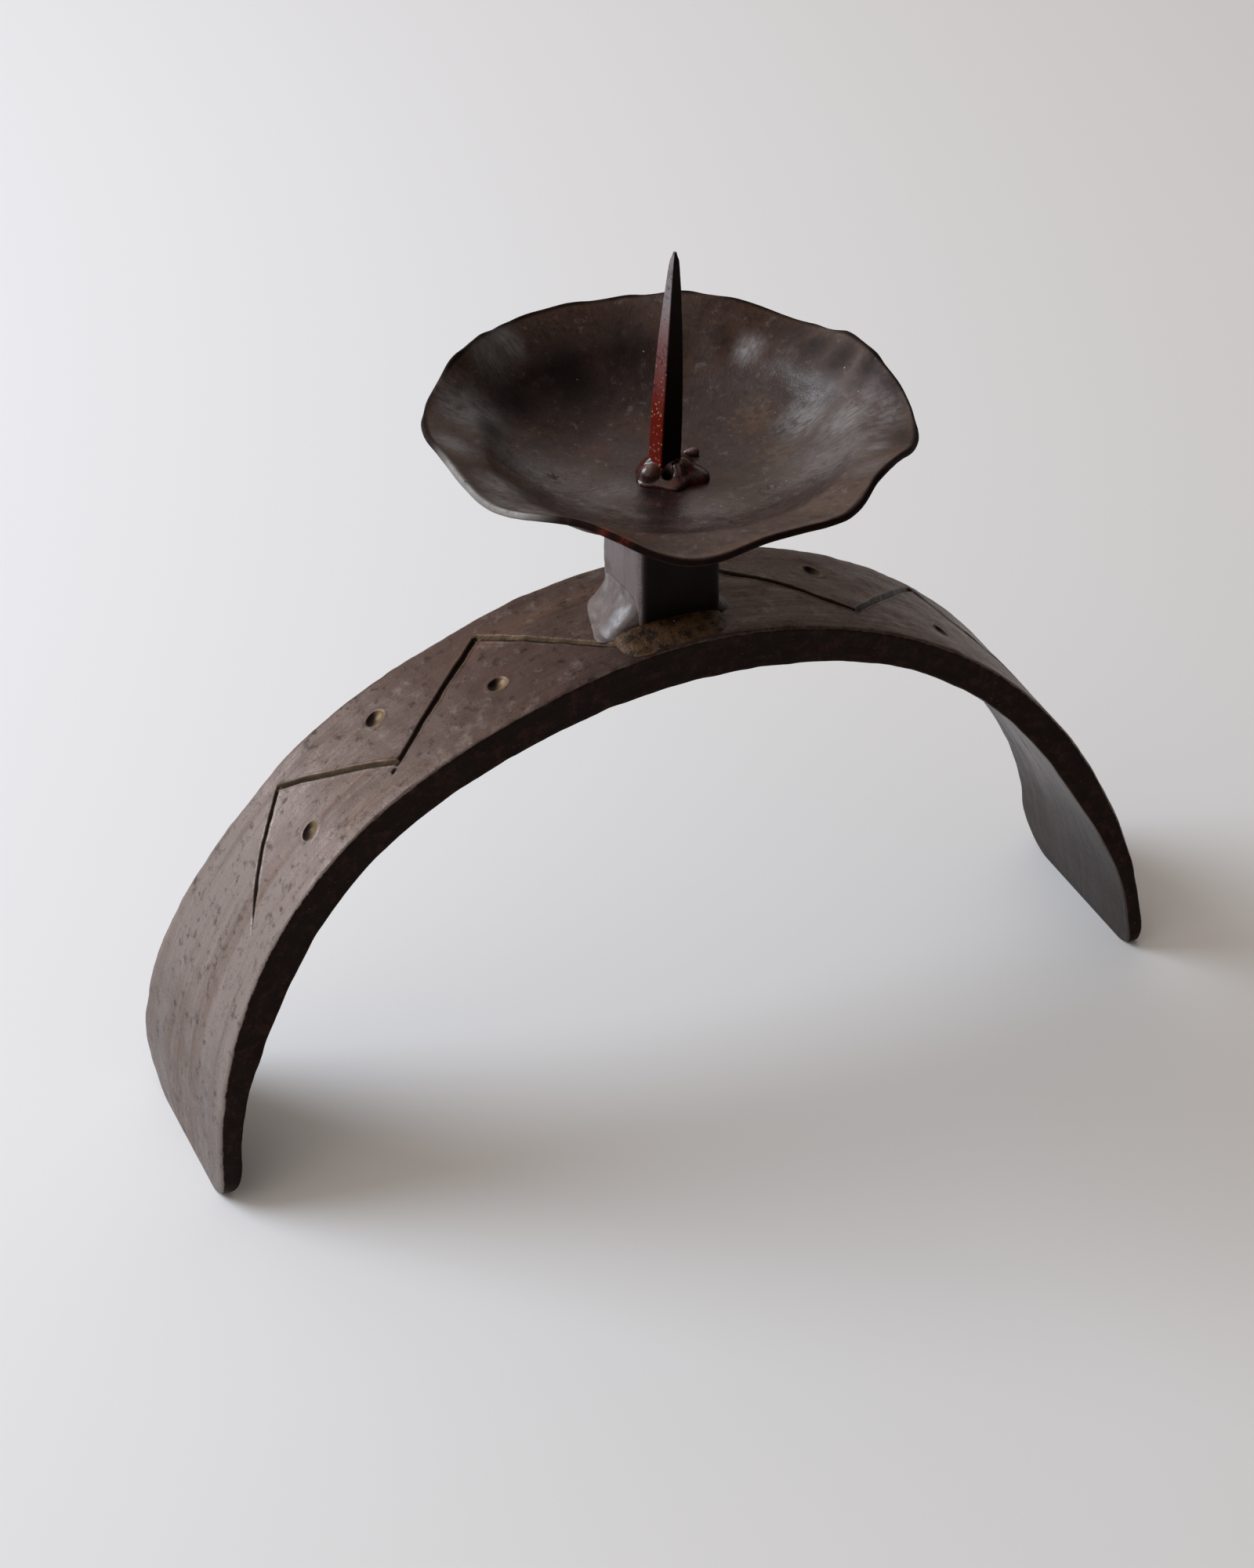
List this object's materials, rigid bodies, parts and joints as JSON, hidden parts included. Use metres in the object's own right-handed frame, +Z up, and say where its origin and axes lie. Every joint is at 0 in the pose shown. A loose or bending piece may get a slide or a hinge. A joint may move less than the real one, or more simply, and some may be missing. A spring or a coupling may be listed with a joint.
{
  "type": "candlestick",
  "caption": "Hand-forged iron candlestick: a flat bar bent into an arch carries a square post and a beaten dish with a wavy lip and a central spike for a thick candle.",
  "frame": {"origin": "on the table, under the middle of the bounding box: the two cut ends of the arch stand on z = 0", "axes": "+X along the arch from its left foot to its right foot, +Y from the front edge of the bar to its back edge, +Z up along the post and the spike"},
  "size_m": [0.2536, 0.1124, 0.2168],
  "materials": {
    "forged_bar": "forged mild steel, dark fire scale, wire-brushed and waxed, satin",
    "beaten_sheet": "beaten sheet steel, dark scale with hammer facets, waxed, with a few brown rust spots",
    "spike_steel": "forged spike, red-brown scale at the foot, grey steel towards the tip",
    "weld_metal": "weld metal, lumpy, brown film with bright specks",
    "rusty_weld": "small glossy weld puddle with a red-brown rust film"
  },
  "bodies": {
    "root": {"arch": "forged_bar", "post": "forged_bar", "weld_left": "weld_metal", "weld_front": "weld_metal", "weld_right": "weld_metal", "weld_back": "weld_metal", "tack_right": "weld_metal", "tack_back": "weld_metal", "tack_left": "weld_metal", "tack_front": "weld_metal", "dish": "beaten_sheet", "spike": "spike_steel", "spike_weld": "rusty_weld", "spatter_drop": "rusty_weld"}
  },
  "joints": []
}
